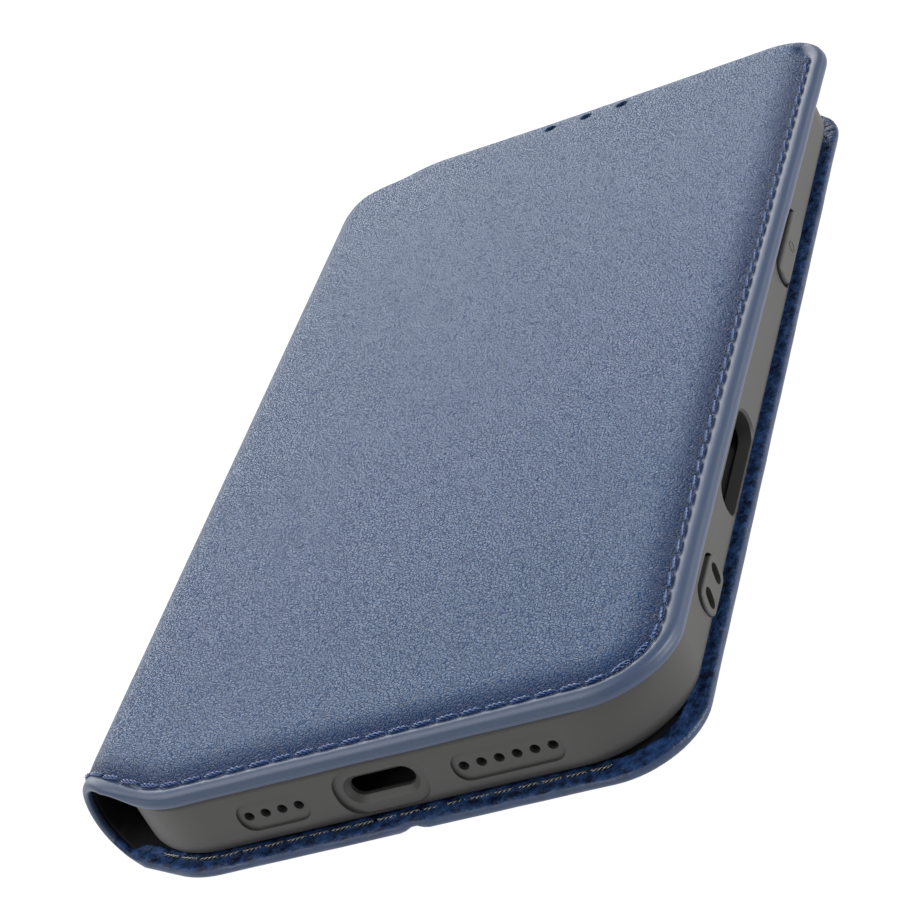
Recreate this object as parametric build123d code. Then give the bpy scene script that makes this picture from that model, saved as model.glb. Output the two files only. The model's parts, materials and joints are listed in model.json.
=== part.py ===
"""Phone wallet case, closed: a soft tray inside a book cover of stitched leather.

+X points to the free edge of the covers and -X to the spine. +Y points to the top of the phone
and -Y to its charging port. +Z is up, from the back cover to the front cover. The origin is under
the middle of the tray, on the outer face of the back cover. Lengths are in millimetres.
"""

from build123d import *
import math
import os

# The phone that the tray is made for.
phone_width = 71.6
phone_length = 147.6
phone_thickness = 7.9
phone_corner_radius = 11.2

# The tray, which is moulded in soft rubbery plastic.
tray_wall_x = 2.2
tray_wall_y = 1.8
tray_floor = 1.0
tray_bottom_z = 1.6
tray_top_radius = 0.9
tray_bottom_radius = 2.4
tray_lip_overhang = 0.9
tray_lip_height = 0.4
tray_half_width = phone_width / 2 + tray_wall_x
tray_half_length = phone_length / 2 + tray_wall_y
tray_corner_radius = 13.0
pocket_floor_z = tray_bottom_z + tray_floor
phone_top_z = pocket_floor_z + phone_thickness
tray_top_z = phone_top_z + tray_lip_height

# The layers of the back cover, from the outside in.
back_skin_thickness = 0.6
back_board_thickness = 0.4
back_lining_thickness = 0.4
back_skin_top = back_skin_thickness
back_board_top = back_skin_top + back_board_thickness
back_lining_top = back_board_top + back_lining_thickness
back_hem_width = 2.2

# The layers of the front cover, from the outside in.
case_height = 13.3
front_skin_thickness = 0.5
front_padding_thickness = 0.4
front_board_thickness = 0.5
front_lining_thickness = 0.3
front_skin_bottom = case_height - front_skin_thickness
front_padding_bottom = front_skin_bottom - front_padding_thickness
front_board_bottom = front_padding_bottom - front_board_thickness
front_lining_bottom = front_board_bottom - front_lining_thickness
front_hem_bottom = 10.9
front_hem_width = 1.4
hem_rounding = 0.9

# The outline of the covers. Both ends of the spine are cut back on a slant.
front_right_x = 40.0
back_right_x = 38.9
cover_length = 153.4
cover_corner_radius = 10.7
slant_start_x = -28.5
spine_root_drop = 4.8
spine_middle_drop = 9.3
front_shift_y = 0.2
back_shift_y = -0.6

# The spine is half a round tube that bends at three lines.
spine_outer_radius = case_height / 2
spine_lining_radius = spine_outer_radius - 0.8
spine_inner_radius = spine_lining_radius - 0.6
spine_centre_x = -38.05
spine_centre_z = spine_outer_radius
hinge_gap_degrees = 9
hinge_gap_x = 0.9
cover_left_x = spine_centre_x + hinge_gap_x
spine_outer_x = spine_centre_x - spine_outer_radius

# The stitching on both covers.
stitch_inset = 1.6
front_stitch_inset = 2.5
thread_width = 0.6
thread_height = 0.2

# The crease that lets the back cover fold into a stand.
crease_x = 1.8
crease_width = 3.0

# The camera window in the tray and the back cover.
window_x = (8.0, 33.0)
window_y = (31.0, 71.0)
window_radius = 9.0

# What the tray's walls have: the port, two grilles, and a slot for the camera key.
wall_middle_z = 6.5
side_middle_z = 5.5
port_width = 12.3
port_height = 7.2
port_recess = 0.45
port_funnel = 0.75
port_slot_width = 8.6
port_slot_height = 2.9
grille_height = 4.3
grille_margin = 0.75
grille_recess = 0.35
grille_pitch = 2.33
grille_hole_radius = 0.66
left_grille_first_x = -18.4
left_grille_holes = 4
right_grille_first_x = 11.1
right_grille_holes = 6
camera_key_y = -24.7
camera_key_length = 19.6
camera_key_height = 4.6
camera_key_scoop = 0.35

# The lanyard bar, with a slot at each side of it.
lanyard_y = (-47.3, -52.1)
lanyard_z = 5.1
lanyard_slot_width = 1.9
lanyard_slot_height = 2.8
lanyard_boss_length = 9.6
lanyard_boss_height = 4.2
lanyard_boss_proud = 0.3
lanyard_groove = 0.7

# The button pads: middle along Y and length.
power_button = (26.7, 16.3)
volume_up_button = (29.5, 11.0)
volume_down_button = (14.5, 11.0)
action_button = (44.0, 7.0)
button_height = 3.6
button_proud = 0.5
button_gap = 0.5
button_inner_gap = 0.5
button_edge_radius = 0.45

# The magnets that hold the covers shut, in rows of three plates.
magnet_size = (3.0, 14.0, 0.4)
magnet_y = (-45.0, 0.0, 45.0)
front_magnet_x = 34.5
back_magnet_x = 34.8
magnet_clearance = 0.1

# The pockets inside the front cover.
note_pocket_thickness = 0.3
card_pocket_thickness = 0.25
pocket_x = (-30.0, 33.0)
pocket_bottom_y = -70.0
note_pocket_top_y = 68.0
card_pocket_tops = (2.0, 17.0, 32.0)
pocket_corner_radius = 4.0

# Three holes over the earpiece.
ear_hole_radius = 0.55
ear_hole_pitch = 6.05
ear_hole_y = 73.7


def extruded(face, low, high):
    """Returns the flat face as a solid from one height to another."""
    return extrude(Pos(0, 0, low) * face, amount=high - low)


def cover_outline(right_x, shift_y, inset=0.0):
    """Returns a cover's outline with both slanted ends, drawn as far as the spine's middle."""
    half = cover_length / 2
    root_half = half - spine_root_drop
    middle_half = half - spine_middle_drop
    beyond_x = spine_outer_x - 10
    beyond_half = middle_half
    corners = [
        (beyond_x, -beyond_half),
        (spine_outer_x, -middle_half),
        (spine_centre_x, -root_half),
        (slant_start_x, -half),
        (right_x, -half),
        (right_x, half),
        (slant_start_x, half),
        (spine_centre_x, root_half),
        (spine_outer_x, middle_half),
        (beyond_x, beyond_half),
    ]
    radii = [0, 2, 6, 6, cover_corner_radius, cover_corner_radius, 6, 6, 2, 0]
    line = FilletPolyline(*corners, radius=radii, close=True)
    face = make_face(line)
    if inset:
        face = offset(face, amount=-inset)
    return Pos(0, shift_y) * face


def right_of(x):
    """Returns a large flat face that covers everything to the right of x."""
    return Pos(x + 100, 0) * Rectangle(200, 400)


def cover_face(right_x, shift_y, inset=0.0, left_x=cover_left_x):
    """Returns a cover's outline, cut off square at the hinge."""
    return cover_outline(right_x, shift_y, inset) & right_of(left_x)


def rounded_box(half_x, half_y, radius, low, high):
    """Returns an upright block with round corners."""
    return extruded(RectangleRounded(2 * half_x, 2 * half_y, radius), low, high)


def window_face(grow=0.0):
    """Returns the camera window, larger all round by grow."""
    width = window_x[1] - window_x[0] + 2 * grow
    length = window_y[1] - window_y[0] + 2 * grow
    middle = Pos((window_x[0] + window_x[1]) / 2, (window_y[0] + window_y[1]) / 2)
    return middle * RectangleRounded(width, length, window_radius + grow)


def ear_holes(low, high):
    """Returns the three earpiece holes as pins to cut away."""
    holes = [Pos(i * ear_hole_pitch, ear_hole_y) * Circle(ear_hole_radius) for i in (-1, 0, 1)]
    return [extruded(hole, low, high) for hole in holes]


def magnet_plates(x, low, high, grow=0.0):
    """Returns the row of magnet plates, or the recesses that hold them."""
    plate = Rectangle(magnet_size[0] + 2 * grow, magnet_size[1] + 2 * grow)
    return [extruded(Pos(x, y) * plate, low, high) for y in magnet_y]


def stitch_ring(right_x, shift_y, inset, low, high):
    """Returns one run of thread along the two ends and the free edge of a cover."""
    outer = cover_face(right_x, shift_y, inset - thread_width / 2)
    inner = cover_face(right_x, shift_y, inset + thread_width / 2, cover_left_x - 5)
    return extruded(outer - inner, low, high)


# ---- The back cover --------------------------------------------------------------------------


def make_back_skin():
    """Returns the outer leather of the back cover, with its rim turned up round the boards."""
    outer = extruded(cover_face(back_right_x, back_shift_y), 0, back_lining_top)
    rim = [e for e in outer.edges() if rim_edge(e, back_right_x, 0)]
    outer = fillet(rim, back_skin_thickness)
    hollow = cover_face(back_right_x, back_shift_y, back_hem_width, cover_left_x - 5)
    outer -= extruded(hollow, back_skin_top, back_lining_top + 1)
    return outer - extruded(window_face(), -1, back_lining_top + 1)


def rim_edge(edge, right_x, z):
    """Tells whether an edge lies flat at height z on the free edge or on the ends of a cover."""
    box = edge.bounding_box()
    flat = abs(box.min.Z - z) < 0.01 and abs(box.max.Z - z) < 0.01
    along_hinge = box.max.X < cover_left_x + 0.01
    return flat and not along_hinge


def back_board_face():
    """Returns the whole space between the back skin and the lining."""
    face = cover_face(back_right_x, back_shift_y, back_hem_width)
    return face - window_face()


def make_back_board_right():
    """Returns the board that the tray is glued over, on the free-edge side of the crease."""
    face = back_board_face() & right_of(crease_x + crease_width / 2)
    board = extruded(face, back_skin_top, back_board_top)
    return board - magnet_plates(back_magnet_x, back_skin_top, back_board_top, magnet_clearance)


def make_back_board_left():
    """Returns the board on the spine side of the crease, which swings out as a stand."""
    face = back_board_face() - right_of(crease_x - crease_width / 2)
    return extruded(face, back_skin_top, back_board_top)


def make_back_lining():
    """Returns the cloth that covers the boards, up to the turned-up rim."""
    return extruded(back_board_face(), back_board_top, back_lining_top)


def make_back_magnets():
    """Returns the three magnet plates in the back board."""
    return Compound(children=magnet_plates(back_magnet_x, back_skin_top, back_board_top))


def make_back_stitching():
    """Returns the thread on the rim of the back cover."""
    return stitch_ring(back_right_x, back_shift_y, stitch_inset, back_lining_top, back_lining_top + thread_height)


def make_adhesive_pad():
    """Returns the double-sided sheet that holds the tray on the right-hand board."""
    width = tray_half_width - 3 - (crease_x + crease_width)
    middle_x = (tray_half_width - 3 + crease_x + crease_width) / 2
    face = Pos(middle_x, 0) * RectangleRounded(width, 2 * tray_half_length - 20, 4)
    face -= window_face(1.0)
    return extruded(face, back_lining_top, tray_bottom_z)


# ---- The tray --------------------------------------------------------------------------------


def wall_slot(length, height, y, z, low_x, high_x):
    """Returns a round-ended bar through a side wall, to cut away or to keep as a pad."""
    outline = Plane.YZ * Pos(y, z) * SlotOverall(length, height)
    return extrude(Pos(low_x, 0, 0) * outline, amount=high_x - low_x)


def end_slot(width, height, x, z, depth):
    """Returns a round-ended recess in the port end of the tray."""
    outline = Plane.XZ * Pos(x, z) * SlotOverall(width, height)
    return extrude(Pos(0, -tray_half_length + depth, 0) * outline, amount=depth + 1)


def end_panel(width, height, x, z, depth):
    """Returns a rounded rectangular recess in the port end of the tray."""
    outline = Plane.XZ * Pos(x, z) * RectangleRounded(width, height, height * 0.45)
    return extrude(Pos(0, -tray_half_length + depth, 0) * outline, amount=depth + 1)


def grille_cut(first_x, holes):
    """Returns the recessed panel of one grille with its row of round holes."""
    span = (holes - 1) * grille_pitch
    middle_x = first_x + span / 2
    width = span + 2 * (grille_hole_radius + grille_margin)
    cut = [end_panel(width, grille_height, middle_x, wall_middle_z, grille_recess)]
    for i in range(holes):
        hole = Plane.XZ * Pos(first_x + i * grille_pitch, wall_middle_z) * Circle(grille_hole_radius)
        cut.append(extrude(Pos(0, -tray_half_length + tray_wall_y + 1, 0) * hole, amount=tray_wall_y + 2))
    return cut


def button_slots(side, buttons):
    """Returns the holes in one side wall that the button pads sit in."""
    height = button_height + 2 * button_gap
    low_x, high_x = sorted((side * (phone_width / 2 - 2), side * (tray_half_width + 2)))
    return [wall_slot(length + 2 * button_gap, height, y, side_middle_z, low_x, high_x) for y, length in buttons]


def level_edges(solid, z):
    """Returns the edges of a solid that lie flat at height z."""
    return [e for e in solid.edges() if e.bounding_box().size.Z < 0.01 and abs(e.center().Z - z) < 0.01]


def port_funnel_cut():
    """Returns the funnel that leads a plug into the charging slot."""
    grow = 2 * port_funnel
    front_y = -tray_half_length + port_recess

    def outline(y, width, height):
        return (Plane.XZ.offset(-y) * Pos(0, wall_middle_z) * SlotOverall(width, height)).face()
    wide = outline(front_y - 0.02, port_slot_width + grow, port_slot_height + grow)
    return loft([wide, outline(front_y + port_funnel, port_slot_width, port_slot_height)])


def lanyard_groove_cut():
    """Returns the crescent groove along the upper side of the lanyard bar."""
    y = sum(lanyard_y) / 2
    length, height = lanyard_boss_length, lanyard_boss_height
    low_x, high_x = tray_half_width - lanyard_groove, tray_half_width + 2
    outer = wall_slot(length, height, y - 0.3, lanyard_z + lanyard_groove, low_x, high_x)
    return outer - wall_slot(length, height, y, lanyard_z, low_x - 1, high_x + 1)


def make_tray():
    """Returns the tray that grips the phone, with every hole in its walls and floor."""
    tray = rounded_box(tray_half_width, tray_half_length, tray_corner_radius, tray_bottom_z, tray_top_z)
    tray = fillet(level_edges(tray, tray_bottom_z), tray_bottom_radius)
    tray = fillet(level_edges(tray, tray_top_z), tray_top_radius)
    boss = wall_slot(
        lanyard_boss_length, lanyard_boss_height, sum(lanyard_y) / 2, lanyard_z,
        tray_half_width - 1, tray_half_width + lanyard_boss_proud,
    )
    tray += fillet(boss.edges().group_by(Axis.X)[-1], lanyard_boss_proud * 0.9)
    pocket = rounded_box(phone_width / 2, phone_length / 2, phone_corner_radius, pocket_floor_z, phone_top_z)
    mouth = rounded_box(
        phone_width / 2 - tray_lip_overhang, phone_length / 2 - tray_lip_overhang,
        phone_corner_radius - tray_lip_overhang, phone_top_z - 1, tray_top_z + 1,
    )
    tray = tray - pocket - mouth
    tray -= extruded(window_face(), tray_bottom_z - 1, pocket_floor_z + 1)
    tray -= end_panel(port_width, port_height, 0, wall_middle_z, port_recess)
    tray -= end_slot(port_slot_width, port_slot_height, 0, wall_middle_z, tray_wall_y + 1)
    tray -= port_funnel_cut()
    tray -= grille_cut(left_grille_first_x, left_grille_holes)
    tray -= grille_cut(right_grille_first_x, right_grille_holes)
    tray -= button_slots(1, [power_button])
    tray -= button_slots(-1, [volume_up_button, volume_down_button, action_button])
    tray -= camera_key_cut()
    tray -= lanyard_groove_cut()
    for y in lanyard_y:
        slot = Plane.YZ * Pos(y, lanyard_z) * SlotOverall(lanyard_slot_height, lanyard_slot_width, rotation=70)
        tray -= extrude(Pos(phone_width / 2 - 2, 0, 0) * slot, amount=tray_wall_x + 4)
    return tray


def camera_key_cut():
    """Returns the slot for the camera key and the flared scoop round it."""
    z = side_middle_z
    slot = wall_slot(camera_key_length, camera_key_height, camera_key_y, z, phone_width / 2 - 2, tray_half_width + 2)
    inner = Plane.YZ * Pos(camera_key_y, z) * SlotOverall(camera_key_length, camera_key_height)
    flare = 2 * camera_key_scoop
    outer = Plane.YZ * Pos(camera_key_y, z) * SlotOverall(camera_key_length + flare, camera_key_height + flare)
    scoop = loft([
        (Pos(tray_half_width - camera_key_scoop, 0, 0) * inner).face(),
        (Pos(tray_half_width + 0.05, 0, 0) * outer).face(),
    ])
    return [slot, scoop]


def make_button(side, button):
    """Returns one button pad, a little proud of the wall that it sits in."""
    y, length = button
    inner_x = phone_width / 2 + button_inner_gap
    outer_x = tray_half_width + button_proud
    if side > 0:
        pad = wall_slot(length, button_height, y, side_middle_z, inner_x, outer_x)
        return fillet(pad.edges().group_by(Axis.X)[-1], button_edge_radius)
    pad = wall_slot(length, button_height, y, side_middle_z, -outer_x, -inner_x)
    return fillet(pad.edges().group_by(Axis.X)[0], button_edge_radius)


# ---- The spine -------------------------------------------------------------------------------


def spine_piece(inner_radius, outer_radius, start_degrees, shift_y):
    """Returns a quarter of the spine's tube, less the gap that each bend line needs."""
    start = math.radians(start_degrees + hinge_gap_degrees)
    end = math.radians(start_degrees + 90 - hinge_gap_degrees)
    middle = (start + end) / 2

    def at(radius, angle):
        return (spine_centre_x + radius * math.cos(angle), spine_centre_z + radius * math.sin(angle))

    outer = ThreePointArc(at(outer_radius, start), at(outer_radius, middle), at(outer_radius, end))
    inner = ThreePointArc(at(inner_radius, end), at(inner_radius, middle), at(inner_radius, start))
    sides = [Line(outer @ 1, inner @ 0), Line(inner @ 1, outer @ 0)]
    section = Plane.XZ * make_face([outer, sides[0], inner, sides[1]])
    tube = extrude(Pos(0, cover_length / 2, 0) * section, amount=cover_length)
    return tube & extruded(cover_outline(front_right_x, shift_y), -1, case_height + 1)


def make_spine(shift_y, start_degrees, inset, both_ends):
    """Returns the skin, the lining and the thread of the upper or the lower half of the spine."""
    skin = spine_piece(spine_lining_radius, spine_outer_radius, start_degrees, shift_y)
    lining = spine_piece(spine_inner_radius, spine_lining_radius, start_degrees, shift_y)
    raised = spine_outer_radius + thread_height
    thread = spine_piece(spine_outer_radius, raised, start_degrees, shift_y)
    outer = cover_outline(front_right_x, shift_y, inset - thread_width / 2)
    inner = cover_outline(front_right_x, shift_y, inset + thread_width / 2)
    thread &= extruded(outer - inner, -1, case_height + 1)
    if not both_ends:
        thread &= Pos(0, -200, 0) * Box(400, 400, 400)
    return skin, lining, thread


# ---- The front cover -------------------------------------------------------------------------


def make_front_skin():
    """Returns the outer leather of the front cover, with its rim turned down round the board."""
    outer = extruded(cover_face(front_right_x, front_shift_y), front_hem_bottom, case_height)
    rim = [e for e in outer.edges() if rim_edge(e, front_right_x, case_height)]
    outer = fillet(rim, hem_rounding)
    hollow = cover_face(front_right_x, front_shift_y, front_hem_width, cover_left_x - 5)
    outer -= extruded(hollow, front_hem_bottom - 1, front_skin_bottom)
    return outer - ear_holes(front_hem_bottom - 1, case_height + 1)


def front_layer(low, high):
    """Returns one flat layer of the front cover, inside the rim, with the earpiece holes."""
    face = cover_face(front_right_x, front_shift_y, front_hem_width)
    return extruded(face, low, high) - ear_holes(low - 1, high + 1)


def make_front_board():
    """Returns the stiff board of the front cover, with the recesses for its magnets."""
    board = front_layer(front_board_bottom, front_padding_bottom)
    return board - magnet_plates(front_magnet_x, front_board_bottom, front_padding_bottom, magnet_clearance)


def make_front_magnets():
    """Returns the three magnet plates in the front board."""
    top = front_board_bottom + magnet_size[2]
    return Compound(children=magnet_plates(front_magnet_x, front_board_bottom, top))


def make_front_stitching():
    """Returns the thread on top of the front cover. The end with the earpiece holes is glued, not sewn."""
    ring = stitch_ring(front_right_x, front_shift_y, front_stitch_inset, case_height, case_height + thread_height)
    return ring & (Pos(0, cover_length / 2 - cover_corner_radius - 200, 0) * Box(400, 400, 400))


def pocket_sheet(top_y, high, thickness):
    """Returns one pocket sheet under the front lining, open along its top edge."""
    width = pocket_x[1] - pocket_x[0]
    length = top_y - pocket_bottom_y
    middle = Pos((pocket_x[0] + pocket_x[1]) / 2, (top_y + pocket_bottom_y) / 2)
    return extruded(middle * RectangleRounded(width, length, pocket_corner_radius), high - thickness, high)


def make_pockets():
    """Returns the note pocket and the three stepped card pockets, by name."""
    high = front_lining_bottom
    sheets = {"note_pocket": pocket_sheet(note_pocket_top_y, high, note_pocket_thickness)}
    high -= note_pocket_thickness
    for number, top_y in zip((3, 2, 1), reversed(card_pocket_tops)):
        sheets[f"card_pocket_{number}"] = pocket_sheet(top_y, high, card_pocket_thickness)
        high -= card_pocket_thickness
    return sheets


# ---- All the pieces --------------------------------------------------------------------------

lower_skin, lower_lining, lower_thread = make_spine(back_shift_y, 180, stitch_inset, True)
upper_skin, upper_lining, upper_thread = make_spine(front_shift_y, 90, front_stitch_inset, False)

nodes = {
    "back_skin": make_back_skin(),
    "back_board_right": make_back_board_right(),
    "back_board_left": make_back_board_left(),
    "back_lining": make_back_lining(),
    "back_magnets": make_back_magnets(),
    "back_stitching": make_back_stitching(),
    "adhesive_pad": make_adhesive_pad(),
    "phone_tray": make_tray(),
    "power_button": make_button(1, power_button),
    "volume_up_button": make_button(-1, volume_up_button),
    "volume_down_button": make_button(-1, volume_down_button),
    "action_button": make_button(-1, action_button),
    "spine_skin_lower": lower_skin,
    "spine_lining_lower": lower_lining,
    "spine_stitching_lower": lower_thread,
    "spine_skin_upper": upper_skin,
    "spine_lining_upper": upper_lining,
    "spine_stitching_upper": upper_thread,
    "front_skin": make_front_skin(),
    "front_padding": front_layer(front_padding_bottom, front_skin_bottom),
    "front_board": make_front_board(),
    "front_lining": front_layer(front_lining_bottom, front_board_bottom),
    "front_magnets": make_front_magnets(),
    "front_stitching": make_front_stitching(),
    **make_pockets(),
}

os.makedirs("parts", exist_ok=True)
for name, shape in nodes.items():
    export_step(shape, f"parts/{name}.step")
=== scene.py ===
"""Phone wallet case: a soft grey tray inside a book cover of stitched navy leather.

+X points to the free edge of the covers and -X to the spine, +Y to the top of the phone and -Y to
its port, and +Z from the back cover up to the front cover. Sizes are in millimetres until a mesh
is finished, and then in metres.
"""

import json
import math

import bmesh
import bpy
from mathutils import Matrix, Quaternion, Vector, noise
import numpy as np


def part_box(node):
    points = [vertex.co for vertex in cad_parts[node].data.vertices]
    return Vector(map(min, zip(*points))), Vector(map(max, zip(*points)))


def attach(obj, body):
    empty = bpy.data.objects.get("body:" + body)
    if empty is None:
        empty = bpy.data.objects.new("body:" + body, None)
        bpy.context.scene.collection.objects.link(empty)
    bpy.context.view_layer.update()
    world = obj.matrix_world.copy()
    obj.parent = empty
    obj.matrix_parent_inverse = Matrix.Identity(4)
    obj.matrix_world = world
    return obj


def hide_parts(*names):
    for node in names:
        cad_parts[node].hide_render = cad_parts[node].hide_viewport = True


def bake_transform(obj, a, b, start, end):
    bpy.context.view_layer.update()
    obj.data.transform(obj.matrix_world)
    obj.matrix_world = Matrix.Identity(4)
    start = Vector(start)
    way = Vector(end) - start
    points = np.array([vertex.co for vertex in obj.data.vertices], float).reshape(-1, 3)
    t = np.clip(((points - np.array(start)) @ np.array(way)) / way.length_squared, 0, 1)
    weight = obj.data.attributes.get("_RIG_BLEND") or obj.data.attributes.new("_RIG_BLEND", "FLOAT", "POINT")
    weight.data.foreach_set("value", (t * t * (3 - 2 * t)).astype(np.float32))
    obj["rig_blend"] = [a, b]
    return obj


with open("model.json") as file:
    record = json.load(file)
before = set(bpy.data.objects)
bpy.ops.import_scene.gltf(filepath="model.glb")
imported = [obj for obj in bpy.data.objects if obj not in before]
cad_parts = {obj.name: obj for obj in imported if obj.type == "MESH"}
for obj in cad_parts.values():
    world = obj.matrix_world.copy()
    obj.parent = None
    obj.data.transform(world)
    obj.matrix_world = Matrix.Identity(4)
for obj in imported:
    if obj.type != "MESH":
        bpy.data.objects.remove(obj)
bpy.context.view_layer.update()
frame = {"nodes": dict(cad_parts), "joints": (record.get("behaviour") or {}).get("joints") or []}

# ---- The studio ------------------------------------------------------------------------------
# The case lies on a pale table. The camera looks down past the port end and the free edge, and
# is rolled, so the case leans. A wide soft box stands behind the spine, and white card all round.

mm = 0.001
CAMERA_AZIMUTH = 27.903
CAMERA_ELEVATION = 27.036
CAMERA_ROLL = -29.489
CAMERA_DISTANCE = 415 * mm
CAMERA_AIM = Vector((-8.66, -1.466, 3.447)) * mm
CAMERA_LENS = 117.07


def direction_to(azimuth, elevation):
    """Returns the unit vector towards an azimuth, counted from -Y towards +X, and an elevation."""
    turn, rise = math.radians(azimuth), math.radians(elevation)
    return Vector((math.sin(turn) * math.cos(rise), -math.cos(turn) * math.cos(rise), math.sin(rise)))


def linear(colour):
    """Turns an sRGB hex colour into the linear values that a shader takes."""
    parts = [int(colour[i:i + 2], 16) / 255 for i in (1, 3, 5)]
    return (*(p / 12.92 if p <= 0.04045 else ((p + 0.055) / 1.055) ** 2.4 for p in parts), 1.0)


def add_node(tree, kind, values=None, links=None, **settings):
    """Adds a node with its settings, its input values and the sockets that feed its inputs."""
    made = tree.nodes.new(kind)
    for name, value in settings.items():
        setattr(made, name, value)
    for name, value in (values or {}).items():
        made.inputs[name].default_value = value
    for name, socket in (links or {}).items():
        tree.links.new(socket, made.inputs[name])
    return made


def new_material(name):
    """Returns an empty material and its node tree."""
    material = bpy.data.materials.new(name)
    material.use_nodes = True
    material.node_tree.nodes.clear()
    return material, material.node_tree


camera = bpy.data.objects.new("camera", bpy.data.cameras.new("camera"))
camera.data.lens = CAMERA_LENS
camera.data.sensor_width = 36
camera.data.clip_start = 0.01
toward_camera = direction_to(CAMERA_AZIMUTH, CAMERA_ELEVATION)
camera.location = CAMERA_AIM + toward_camera * CAMERA_DISTANCE
level_view = (-toward_camera).to_track_quat("-Z", "Y")
camera.rotation_mode = "QUATERNION"
camera.rotation_quaternion = level_view @ Quaternion((0, 0, 1), math.radians(CAMERA_ROLL))
bpy.context.scene.collection.objects.link(camera)
bpy.context.scene.camera = camera
bpy.context.scene.view_settings.view_transform = "Standard"

table_bmesh = bmesh.new()
bmesh.ops.create_grid(table_bmesh, x_segments=1, y_segments=1, size=1.5)
table_mesh = bpy.data.meshes.new("table")
table_bmesh.to_mesh(table_mesh)
table_bmesh.free()
table = bpy.data.objects.new("table", table_mesh)
bpy.context.scene.collection.objects.link(table)
table_paint, tree = new_material("table_white_card")
card = add_node(tree, "ShaderNodeBsdfDiffuse", {"Color": linear("#5a5a5a")})
glow = add_node(tree, "ShaderNodeEmission", {"Color": linear("#ffffff"), "Strength": 0.98})
both = add_node(tree, "ShaderNodeAddShader", links={0: card.outputs[0], 1: glow.outputs[0]})
add_node(tree, "ShaderNodeOutputMaterial", links={"Surface": both.outputs[0]})
table.data.materials.append(table_paint)
table.location.z = -0.00002


def soft_box(name, azimuth, elevation, distance, width, height, watts, colour="#ffffff"):
    """Adds a rectangular light that faces the case."""
    lamp = bpy.data.objects.new(name, bpy.data.lights.new(name, "AREA"))
    lamp.data.shape = "RECTANGLE"
    lamp.data.size = width
    lamp.data.size_y = height
    lamp.data.energy = watts
    lamp.data.color = linear(colour)[:3]
    outward = direction_to(azimuth, elevation)
    lamp.location = outward * distance
    lamp.rotation_mode = "QUATERNION"
    lamp.rotation_quaternion = outward.to_track_quat("Z", "Y")
    bpy.context.scene.collection.objects.link(lamp)


soft_box("back_soft_box", 214, 17, 1.0, 1.1, 0.42, 5.1)
soft_box("left_soft_box", 290, 58, 1.0, 0.8, 0.8, 6)
soft_box("side_soft_box", 100, 25, 1.0, 0.5, 0.6, 7.5)
soft_box("front_soft_box", 335, 32, 1.0, 0.6, 0.6, 1.6)

world = bpy.data.worlds.new("white_room")
world.use_nodes = True
bpy.context.scene.world = world
world.node_tree.nodes["Background"].inputs["Color"].default_value = linear("#ffffff")
world.node_tree.nodes["Background"].inputs["Strength"].default_value = 0.35

# ---- The outer leather -----------------------------------------------------------------------
# One sheet of split leather with a fine embossed pebble, 0.6 mm thick, dyed navy and sprayed with
# a satin finish. It wraps from the free edge of the front cover over the round spine to the free
# edge of the back cover. Its edges are turned in over the boards, which makes the rolled rim.

joints = {joint["name"]: joint for joint in frame["joints"]}
BEND_X = joints["cover_bend"]["pos_m"][0] / mm
CASE_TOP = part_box("front_skin")[1].z / mm
SPINE_RADIUS = CASE_TOP / 2
FRONT_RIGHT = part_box("front_skin")[1].x / mm
BACK_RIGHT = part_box("back_skin")[1].x / mm
FRONT_SHIFT = (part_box("front_skin")[0].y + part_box("front_skin")[1].y) / 2 / mm
BACK_SHIFT = (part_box("back_skin")[0].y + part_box("back_skin")[1].y) / 2 / mm
HALF_LENGTH = (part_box("front_skin")[1].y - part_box("front_skin")[0].y) / 2 / mm
CORNER_RADIUS = 10.7
CREASE_X = 1.8
SLANT_START = -28.5
SLANT_SLOPE = 0.503
SLANT_BLEND = 3.0
SKEW_X = 1.3
SKEW_Y = 1.5
SPINE_DROP = 4.5
SEAM_DEGREES = 50
STEPS_PER_STITCH = 4
COVER_STITCHES = 21
ARC_STITCHES = 2
EDGE_STITCHES = 41
CORNER_STITCHES = 4
MIDDLE_STITCHES = 3


def ease(value, low, high):
    """Rises smoothly from 0 at low to 1 at high."""
    t = min(max((value - low) / (high - low), 0), 1)
    return t * t * (3 - 2 * t)


def blend_value(a, b, t):
    """Returns the value a share t of the way from a to b."""
    return a + (b - a) * t


def half_length(x):
    """Returns half the cover's length at x. Past the bend, x is counted round the spine."""
    flat_x = max(x, BEND_X)
    past = SLANT_START - flat_x
    drop = SLANT_SLOPE * (past if past > SLANT_BLEND else max(past + SLANT_BLEND, 0) ** 2 / (4 * SLANT_BLEND))
    if x < BEND_X:
        drop += SPINE_DROP * math.sin((BEND_X - x) / SPINE_RADIUS)
    return HALF_LENGTH - drop


def on_cover(x, y, height, side):
    """Wraps a point of the flat leather round the case: side is 1 from the front and -1 from the back.

    The front cover sits a little askew: its far corner stands further out than the near one.
    """
    if x >= BEND_X:
        if side > 0:
            far = ease(y, -40, 95)
            across = max((x + 10) / (FRONT_RIGHT + 10), 0) ** 1.5
            x, y = x + SKEW_X * far * ease(x, BEND_X, FRONT_RIGHT), y + SKEW_Y * far * across
        return Vector((x, y, SPINE_RADIUS + side * (SPINE_RADIUS + height)))
    turn = (BEND_X - x) / SPINE_RADIUS
    radius = SPINE_RADIUS + height
    return Vector((BEND_X - radius * math.sin(turn), y, SPINE_RADIUS + side * radius * math.cos(turn)))


SEAM_X = BEND_X - SPINE_RADIUS * math.radians(SEAM_DEGREES)
FAR_SEAM_X = BEND_X - SPINE_RADIUS * math.radians(180 - SEAM_DEGREES)


def even_steps(low, high, count):
    """Returns count + 1 even values from low to high."""
    return [blend_value(low, high, i / count) for i in range(count + 1)]


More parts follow.
